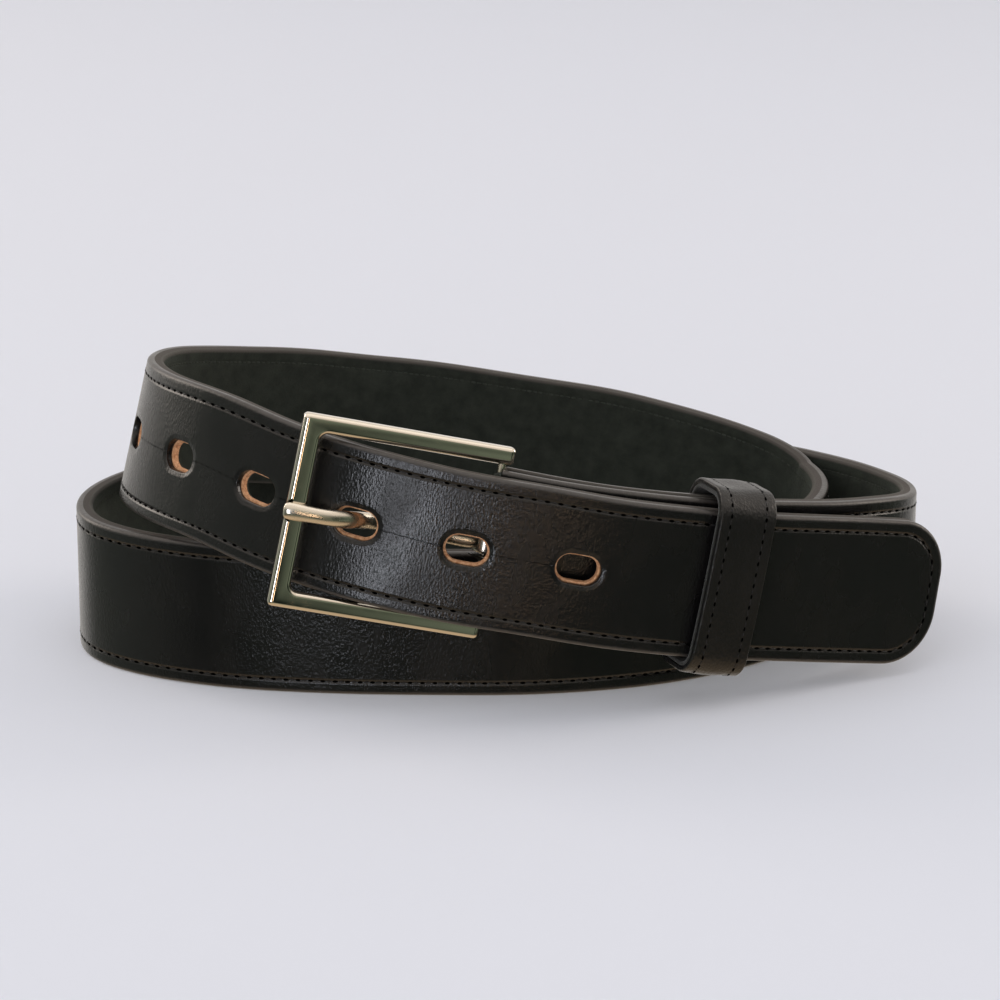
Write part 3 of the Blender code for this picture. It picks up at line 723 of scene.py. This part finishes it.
# ---- keeper: a stitched leather loop round both straps ----
keeper = {"at": 54.6, "width": 14.0, "height": 39.8, "corner": 3.8, "twist": 3.0, "lining": 0.9,
          "face": 1.4, "stitch share": 0.8, "stitch pitch": 2.6, "seam inset": 2.6}
at = keeper["at"]
here, kAlong, kUp, kOut = (read(table, at) for table in (centre, along, up, out))
late = centre[length > strapLength - 110]
tipPoint = late[np.argmin(np.linalg.norm(late - here, axis=1))]
gapOut, rise = (tipPoint - here) @ kOut, (tipPoint - here) @ kUp
innerN, outerN = -strap["fold apart"] - top - 1.1, gapOut + top + 1.2
depth = outerN - innerN
middle = here + kOut * (outerN + innerN) / 2 + kUp * rise / 2
columns = np.c_[kAlong, -kOut, kUp]
if np.linalg.det(columns) < 0:
    columns = np.c_[kAlong, kOut, kUp]
facing = 1 if columns[:, 1] @ kOut > 0 else -1      # which local y faces the buckle side
spot = Matrix([[*row, h] for row, h in zip(columns, middle * mm)] + [[0, 0, 0, 1]])
spot = spot @ Matrix.Rotation(radians(keeper["twist"]), 4, "Y")


def loop(name, grow, thick, mat, rim):
    ob = block(name, (keeper["width"], depth + 2 * grow, keeper["height"] + 2 * grow), (0, 0, 0))
    pick(ob, "faces", lambda f: abs(f.normal.x) > 0.9)
    bpy.ops.mesh.delete(type="FACE")
    pick(ob, "edges", lambda e: abs(e.verts[0].co.x - e.verts[1].co.x) > 1e-3)
    bpy.ops.mesh.bevel(offset=(keeper["corner"] + grow) * mm, segments=8, affect="EDGES")
    pick(ob, "edges", lambda e: abs(e.verts[0].co.z - e.verts[1].co.z) > 0.02
         or abs(e.verts[0].co.y - e.verts[1].co.y) > 0.005)
    bpy.ops.mesh.subdivide(number_cuts=8)
    pick(ob, "edges", lambda e: abs(e.verts[0].co.x - e.verts[1].co.x) > 1e-3)
    bpy.ops.mesh.subdivide(number_cuts=6)
    bpy.ops.object.mode_set(mode="OBJECT")
    useModifier(ob, "SOLIDIFY", thickness=thick * mm, offset=1.0, use_even_offset=True)
    useModifier(ob, "BEVEL", width=rim * mm, segments=4, limit_method="ANGLE", angle_limit=radians(60))
    return ob


def relax(co):
    # hand-made leather: the front swells a little and the loop is not quite square
    y, z, x = co[:, 1] / mm, co[:, 2] / mm, co[:, 0] / mm
    swell = 0.45 * np.cos(np.clip(z / (keeper["height"] / 2 + 3), -1, 1) * pi / 2)
    co[:, 1] += np.sign(y) * swell * np.abs(y) / (depth / 2) * mm * (y * facing > 0)
    co[:, 2] += 0.15 * np.sin(x * 0.5 + y * 0.2) * mm * np.abs(z) / 20
    return co


keeperFace = loop("keeperFace", keeper["lining"] + 0.02, keeper["face"], keeperHide, 0.5)
keeperLining = loop("keeperLining", 0, keeper["lining"], keeperSuede, 0.25)
wall = keeper["lining"] + 0.02 + keeper["face"]
for ob, mat, slotName, nodeName in ((keeperFace, keeperHide, "black_leather", "keeper_face"),
                                    (keeperLining, keeperSuede, "lining_leather", "keeper_lining")):
    setCoords(ob, relax(coords(ob)))
    setOnBelt(ob, spot)
    soften(ob, 40)
    paint(ob, mat)
    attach(ob, "keeper")
    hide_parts(nodeName)


def keeperRing(x, off):
    # closed line round the outside of the loop, with its outward direction
    radius = keeper["corner"] + off
    hy, hz = depth / 2 + off - radius, keeper["height"] / 2 + off - radius
    pts = []
    for quarter, (cy, cz) in enumerate(((hy, hz), (-hy, hz), (-hy, -hz), (hy, -hz))):
        for a in np.linspace(0, pi / 2, 12):
            turn = pi / 2 * quarter + a
            pts.append((x, cy + radius * cos(turn), cz + radius * sin(turn), cos(turn), sin(turn)))
    return pts + pts[:1]


def layKeeper(where, ahead, local, height_):
    normal = unit(np.array([0, where[3], where[4]]))
    tangent = unit(np.array([0, ahead[1], ahead[2]]))
    side = np.cross(normal, tangent)
    local = local * keeper["stitch share"]
    p = where[:3] + np.outer(local[:, 0], tangent) + np.outer(local[:, 1], side) \
        + np.outer(local[:, 2] + height_, normal)
    p = relax(p * mm)
    m = np.array(spot)
    return p @ m[:3, :3].T + m[:3, 3]


for name, side in (("keeperSeamLeft", -1), ("keeperSeamRight", 1)):
    ring = keeperRing(side * (keeper["width"] / 2 - keeper["seam inset"]), wall)
    sewn(name, walk(ring, keeper["stitch pitch"]), layKeeper, "keeper",
         ["keeper_seam_left" if side < 0 else "keeper_seam_right"], 1, -0.03)
print("keeper made")

# ---- floor, light and camera ----
studio = {"paper": "#d5d6da", "top": 5.6, "front": 7.3, "lit from below": 0.16}
clearSelection()
bpy.ops.mesh.primitive_plane_add(size=7)
floor = bpy.context.object
floor.name = "paperSweep"
pick(floor, "edges", lambda e: True)
bpy.ops.mesh.extrude_region_move(TRANSFORM_OT_translate={"value": (0, 0, 3.5)})
bpy.ops.object.mode_set(mode="OBJECT")
useModifier(floor, "BEVEL", width=1.2, segments=12, limit_method="ANGLE", angle_limit=radians(60))
bpy.ops.object.shade_smooth()
floor.visible_glossy = False
# Translucent paper sweep over a light table, so shadows stay faint.
paper, shader = newMaterial("translucentPaper", Roughness=0.9, Specular_IOR_Level=0.1,
                            Emission_Color=hexColour("#fdfcfd"), Emission_Strength=studio["lit from below"])
tooth = node(paper, "TexNoise", {"Vector": node(paper, "TexCoord").outputs["Object"], "Scale": 2.0})
tone = node(paper, "Mix", {"Factor": tooth, 6: hexColour(studio["paper"]), 7: hexColour("#d6d8de")},
            data_type="RGBA")
paper.node_tree.links.new(tone.outputs[2], shader.inputs["Base Color"])
paint(floor, paper)


def softbox(name, at_, aim, size, watts, colour, gloss=True):
    lamp = bpy.data.lights.new(name, "AREA")
    lamp.shape, lamp.size, lamp.size_y = "RECTANGLE", *size
    lamp.energy, lamp.color = watts, hexColour(colour)[:3]
    ob = bpy.data.objects.new(name, lamp)
    bpy.context.scene.collection.objects.link(ob)
    ob.location = at_
    ob.rotation_euler = (Vector(aim) - Vector(at_)).to_track_quat("-Z", "Y").to_euler()
    ob.visible_glossy = gloss
    return ob


softbox("topSoftbox", (0, -0.2, 1.8), (0, 0, 0), (2.4, 2.0), studio["top"], "#ffffff")
softbox("frontFill", (-1.2, -1.3, 1.2), (0, 0, 0), (2.2, 1.4), studio["front"], "#f4f7ff", gloss=False)
softbox("leftBackSoftbox", (-1.40, 0.80, 0.62), (0, 0, 0.03), (0.7, 1.0), 8.0, "#fff2e6")
softbox("rightBackSoftbox", (1.48, 0.30, 0.48), (0, 0, 0.03), (0.6, 0.9), 8.0, "#fff2e6")
softbox("frontStrip", (-0.42, -1.5, 0.0), (0, 0, 0.03), (0.18, 0.60), 5.0, "#f2f5ff")
softbox("warmStrip", (0.22, -1.5, 0.0), (0, 0, 0.03), (0.08, 0.50), 0.9, "#ffd9b4")

# The room the polish reflects: dim grey-green all round, warm table colour below the horizon.
world = bpy.data.worlds.new("studioRoom")
bpy.context.scene.world = world
world.use_nodes = True
world.node_tree.nodes.clear()
looking = node(world, "SeparateXYZ", {0: node(world, "TexCoord").outputs["Generated"]})
table = node(world, "MapRange", {0: looking.outputs[2], 1: -0.42, 2: -0.72, 3: 0.0, 4: 1.0},
             interpolation_type="SMOOTHSTEP")
left = node(world, "MapRange", {0: looking.outputs[0], 1: -0.55, 2: -0.95, 3: 0.0, 4: 1.0},
            interpolation_type="SMOOTHSTEP")
furniture = node(world, "TexNoise", {"Vector": node(world, "TexCoord").outputs["Generated"], "Scale": 2.6,
                                     "Detail": 1.0})
shade = node(world, "MapRange", {0: furniture, 1: 0.46, 2: 0.64, 3: 0.0, 4: 1.0})
room = node(world, "Mix", {"Factor": shade, 6: hexColour("#141a16"), 7: hexColour("#75806f")},
            data_type="RGBA")
room = node(world, "Mix", {"Factor": left, 6: room.outputs[2], 7: hexColour("#8d9288")}, data_type="RGBA")
room = node(world, "Mix", {"Factor": table, 6: room.outputs[2], 7: hexColour("#d0b899")},
            data_type="RGBA")
ceiling = node(world, "MapRange", {0: looking.outputs[2], 1: 0.14, 2: 0.50, 3: 0.0, 4: 1.0},
               interpolation_type="SMOOTHSTEP")
room = node(world, "Mix", {"Factor": ceiling, 6: room.outputs[2], 7: (0.95, 0.86, 0.76, 1)},
            data_type="RGBA")
behind = node(world, "MapRange", {0: looking.outputs[1], 1: 0.35, 2: 0.85, 3: 0.0, 4: 1.0},
              interpolation_type="SMOOTHSTEP")
room = node(world, "Mix", {"Factor": behind, 6: room.outputs[2], 7: (0.95, 0.91, 0.87, 1)},
            data_type="RGBA")
reflected = node(world, "Background", {0: room.outputs[2], 1: 1.0})
air = node(world, "Background", {0: hexColour("#cdd3dc"), 1: 0.32})
mirror = node(world, "LightPath").outputs["Is Glossy Ray"]
seenBy = node(world, "MixShader", {0: mirror, 1: air, 2: reflected})
node(world, "OutputWorld", {"Surface": seenBy})
bpy.context.scene.view_settings.view_transform = "Standard"

lens = {"target": (-0.9, 37.7, 24.3), "elevation": 16.5, "distance": 990.0, "focal": 141.86}
camData = bpy.data.cameras.new("camera")
camData.lens, camData.sensor_width = lens["focal"], 36
camData.clip_start, camData.clip_end = 0.05, 20
camera = bpy.data.objects.new("camera", camData)
bpy.context.scene.collection.objects.link(camera)
target = Vector(lens["target"]) * mm
tilt = radians(lens["elevation"])
camera.location = target + Vector((0, -cos(tilt), sin(tilt))) * lens["distance"] * mm
camera.rotation_euler = (pi / 2 - tilt, 0, 0)
bpy.context.scene.camera = camera
